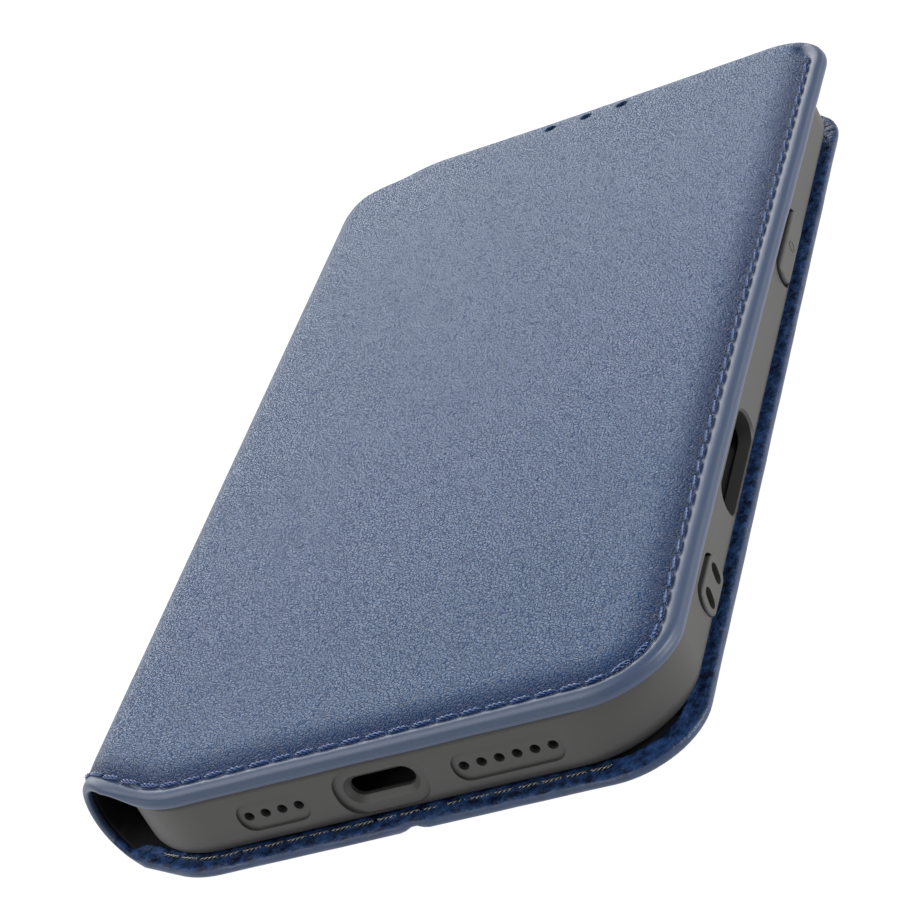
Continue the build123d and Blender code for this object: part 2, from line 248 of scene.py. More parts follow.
def cover_columns(right, steps=STEPS_PER_STITCH):
    """Returns the x of each column of the mesh, from the seam on the spine to the round corner."""
    arc = even_steps(SEAM_X, BEND_X, ARC_STITCHES * steps)
    return arc + even_steps(BEND_X, right - CORNER_RADIUS, COVER_STITCHES * steps)[1:]


def cover_pivots(right, shift, columns, steps=STEPS_PER_STITCH):
    """Returns the points and outward directions that the edge of a cover is measured from, all round."""
    corner_steps = CORNER_STITCHES * steps
    edge_half = HALF_LENGTH - CORNER_RADIUS
    near = [(x, shift - half_length(x) + CORNER_RADIUS, -90) for x in columns]
    corner_x = right - CORNER_RADIUS
    near_corner = [(corner_x, shift - edge_half, turn) for turn in even_steps(-90, 0, corner_steps)[1:]]
    edge = even_steps(-edge_half, edge_half, EDGE_STITCHES * steps)[1:]
    free_edge = [(corner_x, shift + y, 0) for y in edge]
    far_corner = [(corner_x, shift + edge_half, turn) for turn in even_steps(0, 90, corner_steps)[1:]]
    far = [(x, shift + half_length(x) - CORNER_RADIUS, 90) for x in reversed(columns)][1:]
    return near + near_corner + free_edge + far_corner + far


def off_pivot(pivot, inset):
    """Returns the flat point that lies inset from the cover's edge, at one pivot."""
    x, y, angle = pivot
    reach = CORNER_RADIUS - inset
    return x + reach * math.cos(math.radians(angle)), y + reach * math.sin(math.radians(angle))


def shaped_grid(mesh, columns, rows, place, mark=None):
    """Adds a grid of faces, moves each corner to place(column, row) and may store mark(column, row)."""
    made = bmesh.ops.create_grid(mesh, x_segments=columns, y_segments=rows, size=1)
    for corner in made["verts"]:
        column = round((corner.co.x + 1) / 2 * columns)
        row = round((corner.co.y + 1) / 2 * rows)
        corner.co = place(column, row)
        if mark:
            corner[mesh.verts.layers.float["station"]] = mark(column, row)


SHARP_ANGLE = math.radians(80)


def finished_piece(name, mesh, material, smooth=True):
    """Merges doubles, closes open ends, turns the faces outwards and makes an object in metres."""
    bmesh.ops.remove_doubles(mesh, verts=mesh.verts, dist=0.0005)
    bmesh.ops.dissolve_degenerate(mesh, dist=0.0002, edges=mesh.edges)
    ends = [edge for edge in mesh.edges if edge.is_boundary]
    if ends:
        bmesh.ops.holes_fill(mesh, edges=ends, sides=0)
    bmesh.ops.recalc_face_normals(mesh, faces=mesh.faces)
    bmesh.ops.scale(mesh, vec=(mm, mm, mm), verts=mesh.verts)
    for face in mesh.faces:
        face.smooth = smooth
    data = bpy.data.meshes.new(name)
    mesh.to_mesh(data)
    mesh.free()
    data.set_sharp_from_angle(angle=SHARP_ANGLE)
    piece = bpy.data.objects.new(name, data)
    bpy.context.scene.collection.objects.link(piece)
    data.materials.append(material)
    return piece


# The stitches of the front cover end at these angles round its far corner. On the back cover, the marks tell
# the leather's colour where the edge rounds over and where it is gathered and turned in. The turned-in edge
# gets painted shade, and the rounded edge gets a little of it.
SEWN_END = (30, 75)
BACK_EDGE_STATION = 14
BACK_HEM_STATION = 19
ROUNDED_MARK = 55
GATHERED_SHADED_MARK = 100


def cover_shell(right, shift, side, heights, stations, columns=None, steps=STEPS_PER_STITCH):
    """Returns a closed shell for one layer of a cover, by default out to the seam on the spine.

    heights(pivot, station, step) gives the inset and the height of each station of the edge's section.
    """
    mesh = bmesh.new()
    mesh.verts.layers.float.new("station")
    columns = columns or cover_columns(right, steps)
    pivots = cover_pivots(right, shift, columns, steps)
    rows = EDGE_STITCHES * steps

    def edge_point(step, station):
        inset, height = heights(pivots[step], station, step)
        x, y = off_pivot(pivots[step], inset)
        return on_cover(x, y, height, side)

    def patch_point(station):
        def place(column, row):
            x = columns[column]
            reach = half_length(x) - CORNER_RADIUS
            y = shift + reach * (2 * row / rows - 1)
            inset, height = heights((x, y, 90 if row > rows / 2 else -90), station, None)
            return on_cover(x, y, height, side)
        return place

    def edge_mark(step, station):
        if side > 0:
            return station * (1 - ease(pivots[step][2], *SEWN_END))
        if station < BACK_EDGE_STATION:
            return station
        return ROUNDED_MARK if station < BACK_HEM_STATION else GATHERED_SHADED_MARK

    shaped_grid(mesh, len(pivots) - 1, stations - 1, edge_point, edge_mark)
    shaped_grid(mesh, len(columns) - 1, rows, patch_point(0))
    shaped_grid(mesh, len(columns) - 1, rows, patch_point(stations - 1))
    return mesh


# The section of the front edge, from the flat of the panel to its underside: how far in from the
# edge, and how high above the panel. The panel sinks to the stitching, and the rim rolls over.
front_section = [
    (10.7, 0.0), (9.0, -0.01), (7.6, -0.04), (6.6, -0.12), (5.6, -0.26), (4.7, -0.43), (3.9, -0.58),
    (3.3, -0.69), (2.85, -0.76), (2.5, -0.80), (2.2, -0.68), (1.9, -0.52), (1.55, -0.40),
    (1.15, -0.38), (0.8, -0.47), (0.48, -0.65), (0.25, -0.88), (0.24, -1.12), (0.07, -1.32),
    (0.0, -1.6), (0.02, -1.9), (0.13, -2.15), (0.36, -2.33), (0.7, -2.4), (1.1, -2.36),
    (1.4, -2.2), (1.4, -0.96), (2.3, -0.895), (3.6, -0.893), (4.4, -0.87), (5.8, -0.72), (10.7, -0.5),
]
# The same section where the leather turns in by itself at the ends of the spine.
spine_section = [
    (10.7, 0.0), (8.8, 0.0), (7.4, 0.0), (6.3, 0.0), (5.4, -0.02), (4.6, -0.04), (3.9, -0.07),
    (3.3, -0.12), (2.8, -0.18), (2.5, -0.22), (2.2, -0.17), (1.9, -0.1), (1.55, -0.05),
    (1.15, -0.05), (0.8, -0.08), (0.5, -0.15), (0.25, -0.29), (0.1, -0.45), (0.02, -0.6),
    (0.0, -0.74), (0.03, -0.9), (0.13, -1.03), (0.32, -1.14), (0.62, -1.19), (0.95, -1.19),
    (1.2, -1.1), (1.3, -0.8), (2.3, -0.8), (2.9, -0.8), (4.0, -0.8), (5.8, -0.8), (10.7, -0.8),
]
# Over the earpiece the edge is only glued, so it has no groove and rounds off gently.
glued_heights = [
    0, -0.01, -0.02, -0.03, -0.05, -0.07, -0.1, -0.14, -0.17, -0.2, -0.23, -0.27, -0.33, -0.43, -0.58,
]
GROOVE_STATION = 9
INNER_STATION = 26
HOLE_DEPTH = 0.09
BESIDE_HOLE = 0.45
# Where, along x, the spine's section gives way to the rim, and to the turned-in edge behind it.
RIM_BLEND = (-37.5, -31)
TURN_IN_BLEND = (-38.2, -36.9)


def front_heights(pivot, station, step):
    """Returns the inset and height of a station of the front cover's edge."""
    x, y, angle = pivot
    rim = ease(x, *(TURN_IN_BLEND if station >= INNER_STATION else RIM_BLEND))
    sewn = 1 - ease(angle, *SEWN_END)
    flat_height = front_section[station][1]
    if station < len(glued_heights):
        flat_height = blend_value(glued_heights[station], flat_height, sewn)
    inset = blend_value(spine_section[station][0], front_section[station][0], rim)
    spine_height = spine_section[station][1] * (sewn if station < GROOVE_STATION + 4 else 1)
    height = blend_value(spine_height, flat_height, rim)
    if step is not None and abs(station - GROOVE_STATION) <= 1 and step % STEPS_PER_STITCH == 0:
        height -= HOLE_DEPTH * sewn * (1 if station == GROOVE_STATION else BESIDE_HOLE)
    if station <= GROOVE_STATION - 3 and x > BEND_X:
        height += 0.05 * noise.noise(Vector((x / 22, y / 30, 1.3)))
    if 10 <= station <= 25 and step is not None:
        ripple = noise.noise(Vector((step / 9, station / 14, 4.1)))
        inset += 0.05 * ripple
        height += 0.04 * ripple
    return inset, height


leather, tree = new_material("pebbled_split_leather_navy")
coordinates = add_node(tree, "ShaderNodeTexCoord").outputs["Object"]
# Pebbles are 0.45 mm across with fine lines between them. Each corner of the mesh knows its station on
# the section of the edge. The valley beside the stitches has painted shade: a darker colour and less sheen.
# The rim is stretched smooth, and its colour is a greyer, lighter blue as painted sheen. The gathered leather
# of the back cover's turned-in edge (marked 100) is crinkled, with painted shade in the hollows of the
# crinkles and painted highlights on their ridges.
pebble = add_node(tree, "ShaderNodeTexVoronoi", {"Scale": 2200.0, "Randomness": 0.95},
                  {"Vector": coordinates}, feature="DISTANCE_TO_EDGE")
crease_line = add_node(tree, "ShaderNodeMapRange",
                       {"From Min": 0.0, "From Max": 0.2, "To Min": 0.0, "To Max": 1.0},
                       {"Value": pebble.outputs["Distance"]}, interpolation_type="SMOOTHSTEP")
fine_noise = add_node(tree, "ShaderNodeTexNoise", {"Scale": 3000.0, "Detail": 2.0, "Roughness": 0.5},
                      {"Vector": coordinates})
station = add_node(tree, "ShaderNodeAttribute", attribute_name="station")
grain = add_node(tree, "ShaderNodeMapRange",
                 {"From Min": 8.0, "From Max": 10.5, "To Min": 1.0, "To Max": 0.07},
                 {"Value": station.outputs["Fac"]})
# Painted shade: the valley beside the stitches gets a darker colour, and less sheen further down.
valley_shade_mask = add_node(tree, "ShaderNodeMapRange",
                   {"From Min": 1.5, "From Max": 6.5, "To Min": 0.0, "To Max": 1.0},
                   {"Value": station.outputs["Fac"]}, interpolation_type="SMOOTHSTEP")
turned = add_node(tree, "ShaderNodeMapRange",
                  {"From Min": 36.0, "From Max": 100.0, "To Min": 0.0, "To Max": 1.0},
                  {"Value": station.outputs["Fac"]})
grain_height = add_node(tree, "ShaderNodeMath",
                        {1: 0.4},
                        {0: fine_noise.outputs[0], 2: crease_line.outputs["Result"]},
                        operation="MULTIPLY_ADD")
grain_bump = add_node(tree, "ShaderNodeBump", {"Distance": 0.00015},
                      {"Strength": grain.outputs["Result"], "Height": grain_height.outputs["Value"]})
crinkle = add_node(tree, "ShaderNodeTexNoise", {"Scale": 650.0, "Detail": 3.0, "Roughness": 0.6},
                   {"Vector": coordinates})
crinkle_bump = add_node(tree, "ShaderNodeBump", {"Distance": 0.0006},
                        {"Strength": turned.outputs["Result"], "Height": crinkle.outputs[0],
                         "Normal": grain_bump.outputs["Normal"]})
lined = add_node(tree, "ShaderNodeMix", {6: linear("#1a375f"), 7: linear("#31557f")},
                 {0: crease_line.outputs["Result"]}, data_type="RGBA")
# The valley's darker colour is painted shade.
valley_painted_shade = add_node(tree, "ShaderNodeMix", {7: linear("#143058")},
                      {0: valley_shade_mask.outputs["Result"], 6: lined.outputs[2]}, data_type="RGBA")
# Past the groove, the rolled rim takes a greyer, lighter colour: painted sheen.
dye_with_shade_and_sheen = add_node(tree, "ShaderNodeMix", {6: linear("#384761")},
               {0: grain.outputs["Result"], 7: valley_painted_shade.outputs[2]}, data_type="RGBA")
# The turned-in edge of the back cover is painted dark as shade, with lighter painted highlights where the
# crinkles rise.
crinkle_light_mask = add_node(tree, "ShaderNodeMapRange",
                    {"From Min": 0.35, "From Max": 0.62, "To Min": 0.0, "To Max": 1.0},
                    {"Value": crinkle.outputs[0]})
turned_edge_painted_light = add_node(tree, "ShaderNodeMix", {6: linear("#0a152b"), 7: linear("#25406c")},
                      {0: crinkle_light_mask.outputs["Result"]}, data_type="RGBA")
# The whole colour carries painted shade in the valley and on the turned-in edge, and painted sheen on the
# rim.
dye_with_painted_light = add_node(tree, "ShaderNodeMix", links={0: turned.outputs["Result"], 6: dye_with_shade_and_sheen.outputs[2],
                                                   7: turned_edge_painted_light.outputs[2]}, data_type="RGBA")
# The weaker sheen in the valley is part of its painted shade.
shine = add_node(tree, "ShaderNodeMapRange",
                 {"From Min": 0.0, "From Max": 1.0, "To Min": 0.5, "To Max": 0.16},
                 {"Value": valley_shade_mask.outputs["Result"]})
rim_shine = add_node(tree, "ShaderNodeMapRange",
                     {"From Min": 9.0, "From Max": 11.0, "To Min": 0.0, "To Max": 0.5},
                     {"Value": station.outputs["Fac"]})
whole_shine = add_node(tree, "ShaderNodeMath",
                       links={0: shine.outputs["Result"], 1: rim_shine.outputs["Result"]},
                       operation="ADD")
# No light is mirrored from the bottom of a line between pebbles or of a crinkle.
line_shine = add_node(tree, "ShaderNodeMapRange",
                      {"From Min": 0.0, "From Max": 1.0, "To Min": 0.3, "To Max": 1.12},
                      {"Value": crease_line.outputs["Result"]})
crinkle_shine = add_node(tree, "ShaderNodeMapRange",
                         {"From Min": 0.0, "From Max": 1.0, "To Min": 1.0, "To Max": 0.3},
                         {"Value": turned.outputs["Result"]})
grain_shine = add_node(tree, "ShaderNodeMix", {2: 0.9},
                       {0: grain.outputs["Result"], 3: line_shine.outputs["Result"]}, data_type="FLOAT")
kept_shine = add_node(tree, "ShaderNodeMath",
                      links={0: grain_shine.outputs[0], 1: crinkle_shine.outputs["Result"]},
                      operation="MULTIPLY")
final_shine = add_node(tree, "ShaderNodeMath",
                       links={0: whole_shine.outputs["Value"], 1: kept_shine.outputs["Value"]},
                       operation="MULTIPLY")
roughness = add_node(tree, "ShaderNodeMapRange",
                     {"From Min": 0.0, "From Max": 1.0, "To Min": 0.42, "To Max": 0.36},
                     {"Value": grain.outputs["Result"]})
skin = add_node(tree, "ShaderNodeBsdfPrincipled",
                {"IOR": 1.5},
                {"Base Color": dye_with_painted_light.outputs[2], "Roughness": roughness.outputs["Result"],
                 "Specular IOR Level": final_shine.outputs["Value"],
                 "Normal": crinkle_bump.outputs["Normal"]})
add_node(tree, "ShaderNodeOutputMaterial", links={"Surface": skin.outputs[0]})

front_mesh = cover_shell(FRONT_RIGHT, FRONT_SHIFT, 1, front_heights, len(front_section))
front_leather = finished_piece("front_leather", front_mesh, leather)


def ring_points(x, y, radius, count):
    """Returns a closed ring of flat points."""
    turns = [2 * math.pi * i / count for i in range(count + 1)]
    return [(x + radius * math.cos(turn), y + radius * math.sin(turn)) for turn in turns]


def cut_through(piece, outline, low, high):
    """Cuts a straight hole with a flat outline through a piece, between two heights."""
    mesh = bmesh.new()
    shaped_grid(mesh, len(outline) - 1, 1, lambda column, row: Vector((*outline[column], (low, high)[row])))
    punch = finished_piece("punch", mesh, piece.data.materials[0], smooth=False)
    hole = piece.modifiers.new("hole", "BOOLEAN")
    hole.operation = "DIFFERENCE"
    hole.solver = "EXACT"
    hole.object = punch
    graph = bpy.context.evaluated_depsgraph_get()
    cut = bpy.data.meshes.new_from_object(piece.evaluated_get(graph))
    piece.modifiers.clear()
    piece.data = cut
    cut.set_sharp_from_angle(angle=SHARP_ANGLE)
    bpy.data.objects.remove(punch)


EAR_HOLES = (-6.05, 0.0, 6.05)
EAR_HOLE_Y = 73.7
EAR_HOLE_RADIUS = 1.0


def punch_ear_holes(piece, radius):
    """Punches the three sound holes over the earpiece through one layer of the front cover."""
    for x in EAR_HOLES:
        middle = on_cover(x, EAR_HOLE_Y, 0, 1)
        cut_through(piece, ring_points(middle.x, middle.y, radius, 20), CASE_TOP - 3, CASE_TOP + 1)


punch_ear_holes(front_leather, EAR_HOLE_RADIUS)


BLEND_DEGREES = SEAM_DEGREES - 4
BLEND_PAST_BEND = 5


def bend_points(side):
    """Returns where a blend starts, on the spine, and ends, on the cover just past the bend."""
    on_spine = on_cover(BEND_X - SPINE_RADIUS * math.radians(BLEND_DEGREES), 0, 0, side) * mm
    past_bend = on_cover(BEND_X + BLEND_PAST_BEND, 0, 0, side) * mm
    return on_spine, past_bend


spine_point, cover_point = bend_points(1)
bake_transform(front_leather, "spine_upper", "front_cover", start=spine_point, end=cover_point)
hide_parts("front_skin", "spine_skin_upper")

MIDDLE_STEPS = MIDDLE_STITCHES * STEPS_PER_STITCH
middle_columns = even_steps(FAR_SEAM_X, SEAM_X, MIDDLE_STEPS)


def shift_at(x):
    """Returns how far the leather is moved along Y, between the two seams on the spine."""
    return blend_value(BACK_SHIFT, FRONT_SHIFT, ease(x, FAR_SEAM_X, SEAM_X))


def middle_shell(section, stations, rows):
    """Returns the strip of a sheet between the two seams on the spine, as a closed band."""
    mesh = bmesh.new()
    mesh.verts.layers.float.new("station")

    def edge_point(direction):
        def place(column, station):
            x = middle_columns[column]
            inset, height = section(x, station, column)
            return on_cover(x, shift_at(x) + direction * (half_length(x) - inset), height, 1)
        return place

    def patch_point(station):
        def place(column, row):
            x = middle_columns[column]
            inset, height = section(x, station, None)
            y = shift_at(x) + (half_length(x) - inset) * (2 * row / rows - 1)
            return on_cover(x, y, height, 1)
        return place

    for direction in (-1, 1):
        shaped_grid(mesh, MIDDLE_STEPS, stations - 1, edge_point(direction), lambda column, station: station)
    for station in (0, stations - 1):
        shaped_grid(mesh, MIDDLE_STEPS, rows, patch_point(station))
    return mesh


def spine_heights(x, station, step):
    """Returns the inset and height of a station of the leather's edge on the spine."""
    inset, height = spine_section[station]
    if step is not None and abs(station - GROOVE_STATION) <= 1 and step % STEPS_PER_STITCH == 0:
        height -= HOLE_DEPTH * (1 if station == GROOVE_STATION else BESIDE_HOLE)
    return inset, height


middle_mesh = middle_shell(spine_heights, len(spine_section), EDGE_STITCHES * STEPS_PER_STITCH)
middle_leather = finished_piece("middle_leather", middle_mesh, leather)
middle_low = on_cover(FAR_SEAM_X, 0, 0, 1) * mm
middle_high = on_cover(SEAM_X, 0, 0, 1) * mm
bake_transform(middle_leather, "spine_lower", "spine_upper", start=middle_low, end=middle_high)

# The section of the back edge, the same way: the leather turns in over a thinner board.
back_section = [
    (10.7, 0.0), (7.0, 0.0), (5.0, 0.0), (4.0, -0.01), (3.2, -0.03), (2.6, -0.06), (2.2, -0.12),
    (1.95, -0.19), (1.75, -0.23), (1.6, -0.24), (1.45, -0.2), (1.2, -0.12), (0.9, -0.1),
    (0.6, -0.14), (0.32, -0.25), (0.12, -0.45), (0.0, -0.72), (0.02, -1.0), (0.14, -1.25),
    (0.36, -1.42), (0.7, -1.52), (1.1, -1.55), (1.6, -1.52), (2.1, -1.5), (2.6, -1.72),
    (3.0, -1.8), (3.2, -1.43), (2.2, -1.42), (2.18, -0.62), (4.0, -0.6), (7.0, -0.6), (10.7, -0.6),
]
BACK_GROOVE_INSET = 1.6
BACK_RIM_BLEND = (-41.5, -37.5)


def crease_depth(x):
    """Returns 1 on the fold line of the stand and 0 away from it."""
    return 1 - ease(abs(x - CREASE_X), 0, 1.8)


def back_heights(pivot, station, step):
    """Returns the inset and height of a station of the back cover's edge."""
    x, y, angle = pivot
    rim = ease(x, *(TURN_IN_BLEND if station >= INNER_STATION else BACK_RIM_BLEND))
    inset = blend_value(spine_section[station][0], back_section[station][0], rim)
    height = blend_value(spine_section[station][1], back_section[station][1], rim)
    if station < 16:
        height -= 0.14 * crease_depth(x)
    if step is not None and x > -36:
        if y < 0:
            inset += 0.35 * crease_depth(x) * ease(station, 9, 14)
            height -= 0.25 * crease_depth(x) * (1 - ease(station, 16, 22))
        if station == GROOVE_STATION and step % STEPS_PER_STITCH == 0:
            height -= 0.1
        if 13 <= station <= 25:
            gather = noise.noise(Vector((step / 1.6, station / 2.6, 2.2)))
            slow = noise.noise(Vector((step / 7, station / 6, 7.7)))
            amount = ease(station, 15, 20)
            height += amount * (0.3 * gather + 0.25 * slow)
            inset += ease(station, 13, 17) * (0.3 if angle < -45 else 0.1) * slow + amount * 0.1 * gather
    return inset, height


back_mesh = cover_shell(BACK_RIGHT, BACK_SHIFT, -1, back_heights, len(back_section))
back_leather = finished_piece("back_leather", back_mesh, leather)


def rounded_pivots(low, high, radius, steps):
    """Returns the middles and directions of the round corners of a rectangle, as a closed ring."""
    pivots = []
    for corner, (side_x, side_y) in enumerate(((1, 1), (-1, 1), (-1, -1), (1, -1))):
        x = (low.x + high.x + side_x * (high.x - low.x - 2 * radius)) / 2
        y = (low.y + high.y + side_y * (high.y - low.y - 2 * radius)) / 2
        turns = even_steps(corner * 90, corner * 90 + 90, steps)
        pivots += [(x, y, math.radians(turn)) for turn in turns]
    return pivots + pivots[:1]


# The window for the phone's cameras is punched through the leather and the lining of the back cover.
WINDOW_LOW = Vector((8.0, 31.0))
WINDOW_HIGH = Vector((33.0, 71.0))
WINDOW_RADIUS = 9.0
window_outline = [(x + WINDOW_RADIUS * math.cos(turn), y + WINDOW_RADIUS * math.sin(turn))
                  for x, y, turn in rounded_pivots(WINDOW_LOW, WINDOW_HIGH, WINDOW_RADIUS, 10)]
cut_through(back_leather, window_outline, -1, 1.6)
spine_point, cover_point = bend_points(-1)
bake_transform(back_leather, "root", "spine_lower", start=cover_point, end=spine_point)
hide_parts("back_skin", "spine_skin_lower")

# ---- The stitching ---------------------------------------------------------------------------
# Three-ply twisted polyester thread, 0.6 mm thick, sewn by machine at 3.2 mm a stitch. Each stitch
# dives into a needle hole at both ends and bulges between them, with its plies turning once.

PLY_RADIUS = 0.15
PLY_OFFSET = 0.19
PLIES = 3
STITCH_SLANT = 0.2
PLY_TURNS = 1.5
PLY_COLUMNS = 9
PLY_SIDES = 5
GROOVE_INSET = 2.5


def ply_of_stitch(mesh, ends, ply, height, side, thickness=1.0):
    """Adds one ply of one stitch to a mesh, between two flat points, as a closed twisted tube."""
    start, end = Vector(ends[0]), Vector(ends[1])
    along = end - start
    across = Vector((-along.y, along.x)).normalized()
    wander = noise.noise(Vector((start.x / 2, start.y / 2, 5.5)))

    def place(column, row):
        share = column / PLY_COLUMNS
        swell = max(math.sin(math.pi * share), 0) ** 0.35
        angle = 2 * math.pi * (PLY_TURNS * share + ply / PLIES) + 3 * wander
        around = 2 * math.pi * row / PLY_SIDES
        radius = PLY_RADIUS * thickness * swell
        offset = PLY_OFFSET * thickness * swell
        lean = STITCH_SLANT * (share - 0.5) + 0.06 * wander
        sideways = offset * math.cos(angle) + radius * math.cos(around) + lean
        upward = height + 0.16 * swell + offset * math.sin(angle) + radius * math.sin(around)
        flat = start + along * (0.02 + 0.96 * share) + across * sideways
        return on_cover(flat.x, flat.y, upward, side)

    shaped_grid(mesh, PLY_COLUMNS, PLY_SIDES, place)


def groove_points(pivots, inset):
    """Returns the flat points of the stitch groove, one for each step of the edge."""
    return [off_pivot(pivot, inset) for pivot in pivots]


def sewn_run(name, points, heights, side, material):
    """Returns a run of stitches, one from each needle hole to the next."""
    mesh = bmesh.new()
    for first in range(0, len(points) - STEPS_PER_STITCH, STEPS_PER_STITCH):
        ends = points[first], points[first + STEPS_PER_STITCH]
        for height, thickness in heights(ends[0][0]):
            for ply in range(PLIES):
                ply_of_stitch(mesh, ends, ply, height, side, thickness=thickness)
    return finished_piece(name, mesh, material)


thread, tree = new_material("twisted_polyester_thread_navy")
coordinates = add_node(tree, "ShaderNodeTexCoord").outputs["Object"]
fibre = add_node(tree, "ShaderNodeTexNoise", {"Scale": 9000.0, "Detail": 2.0}, {"Vector": coordinates})
fibre_bump = add_node(tree, "ShaderNodeBump",
                      {"Strength": 0.4, "Distance": 0.00004},
                      {"Height": fibre.outputs[0]})
strand = add_node(tree, "ShaderNodeBsdfPrincipled",
                  {"Base Color": linear("#163d74"), "Roughness": 0.27, "IOR": 1.6, "Coat Weight": 0.3},
                  {"Normal": fibre_bump.outputs["Normal"]})
add_node(tree, "ShaderNodeOutputMaterial", links={"Surface": strand.outputs[0]})


def front_thread_heights(x):
    """Returns the height of the thread on the front cover at x, and how thick it is."""
    return [(blend_value(-0.16, -0.6, ease(x, *RIM_BLEND)), 1.0)]


front_pivots = cover_pivots(FRONT_RIGHT, FRONT_SHIFT, cover_columns(FRONT_RIGHT))
front_pivots = [pivot for pivot in front_pivots if pivot[2] < 35]
front_thread = sewn_run("front_stitching_thread", groove_points(front_pivots, GROOVE_INSET),
                        front_thread_heights, 1, thread)
spine_point, cover_point = bend_points(1)
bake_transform(front_thread, "spine_upper", "front_cover", start=spine_point, end=cover_point)
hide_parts("front_stitching", "spine_stitching_upper")

middle_thread_mesh = bmesh.new()
for direction in (-1, 1):
    line = [(x, shift_at(x) + direction * (half_length(x) - GROOVE_INSET)) for x in middle_columns]
    sewn_steps = MIDDLE_STEPS if direction < 0 else 2 * STEPS_PER_STITCH
    for first in range(0, sewn_steps, STEPS_PER_STITCH):
        for ply in range(PLIES):
            ply_of_stitch(middle_thread_mesh, (line[first], line[first + STEPS_PER_STITCH]), ply, -0.22, 1)
middle_thread = finished_piece("middle_stitching_thread", middle_thread_mesh, thread)
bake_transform(middle_thread, "spine_lower", "spine_upper", start=middle_low, end=middle_high)

# The back cover's navy thread lies in the groove of its outer face. The black bobbin thread is inside,
# on the turned-in edge, where it shows as glints under the tray.
bobbin_thread, tree = new_material("bobbin_thread_glossy_black")
coordinates = add_node(tree, "ShaderNodeTexCoord").outputs["Object"]
fibre = add_node(tree, "ShaderNodeTexNoise", {"Scale": 6000.0, "Detail": 2.0}, {"Vector": coordinates})
fibre_bump = add_node(tree, "ShaderNodeBump",
                      {"Strength": 0.6, "Distance": 0.00006},
                      {"Height": fibre.outputs[0]})
strand = add_node(tree, "ShaderNodeBsdfPrincipled",
                  {"Base Color": linear("#0b0d12"), "Roughness": 0.15, "IOR": 2.1, "Coat Weight": 1.0},
                  {"Normal": fibre_bump.outputs["Normal"]})
add_node(tree, "ShaderNodeOutputMaterial", links={"Surface": strand.outputs[0]})


BOBBIN_FURTHER_IN = 0.55


def outer_back_heights(x):
    """Returns the height of the thread on the outer face of the back cover, and how thick it is."""
    return [(-0.44, 0.75)]


def inner_back_heights(x):
    """Returns the height of the thread inside the back cover, and how thick it is."""
    if x < BEND_X + 2:
        return []
    return [(-1.3, 0.9)] if x > BACK_RIGHT - 13 else [(-1.7, 0.95)]


back_pivots = cover_pivots(BACK_RIGHT, BACK_SHIFT, cover_columns(BACK_RIGHT))
back_line = groove_points(back_pivots, BACK_GROOVE_INSET)
back_thread = sewn_run("back_stitching_thread", back_line, outer_back_heights, -1, thread)
bobbin_line = groove_points(back_pivots, BACK_GROOVE_INSET + BOBBIN_FURTHER_IN)
bobbin = sewn_run("back_bobbin_thread", bobbin_line, inner_back_heights, -1, bobbin_thread)
spine_point, cover_point = bend_points(-1)
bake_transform(back_thread, "root", "spine_lower", start=cover_point, end=spine_point)
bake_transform(bobbin, "root", "spine_lower", start=cover_point, end=spine_point)
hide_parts("back_stitching", "spine_stitching_lower")

# ---- The lining ------------------------------------------------------------------------------
# Black microfibre cloth on a thin backing. It is glued inside both covers and round the spine, and
# its edges are covered by the turned-in leather.

lining_cloth, tree = new_material("napped_microfibre_black")
coordinates = add_node(tree, "ShaderNodeTexCoord").outputs["Object"]
nap = add_node(tree, "ShaderNodeTexNoise", {"Scale": 1600.0, "Detail": 3.0}, {"Vector": coordinates})
nap_bump = add_node(tree, "ShaderNodeBump",
                    {"Strength": 0.5, "Distance": 0.00008},
                    {"Height": nap.outputs[0]})
nap_shade = add_node(tree, "ShaderNodeMix", {6: linear("#0b0b0d"), 7: linear("#17171a")},
                     {0: nap.outputs[0]}, data_type="RGBA")
cloth = add_node(tree, "ShaderNodeBsdfPrincipled", {"Roughness": 0.9, "Specular IOR Level": 0.2},
                 {"Base Color": nap_shade.outputs[2], "Normal": nap_bump.outputs["Normal"]})
add_node(tree, "ShaderNodeOutputMaterial", links={"Surface": cloth.outputs[0]})

LINING_STEPS = 2
LINING_STATIONS = 7
FRONT_LINING = (-1.4, -1.7)
SPINE_LINING = (-0.8, -1.4)
BACK_LINING = (-1.0, -1.4)
LINING_BLEND = (-38.6, -36.6)


def lining_heights(cover_inset, cover_faces):
    """Returns the section of the lining on one cover: a flat sheet with soft edges."""
    def heights(pivot, station, step):
        on_board = ease(pivot[0], *LINING_BLEND)
        outer = blend_value(SPINE_LINING[0], cover_faces[0], on_board)
        inner = blend_value(SPINE_LINING[1], cover_faces[1], on_board)
        edge = blend_value(1.32, cover_inset, on_board)
        share = station / (LINING_STATIONS - 1)
        insets = (CORNER_RADIUS, edge + 0.4, edge + 0.05, edge, edge + 0.05, edge + 0.4, CORNER_RADIUS)
        return insets[station], blend_value(outer, inner, ease(share, 0.2, 0.8))
    return heights


def lined_cover(name, right, shift, side, cover_inset, faces):
    """Returns the lining of one cover, out to the seam on the spine."""
    heights = lining_heights(cover_inset, faces)
    mesh = cover_shell(right, shift, side, heights, LINING_STATIONS, steps=LINING_STEPS)
    return finished_piece(name, mesh, lining_cloth)


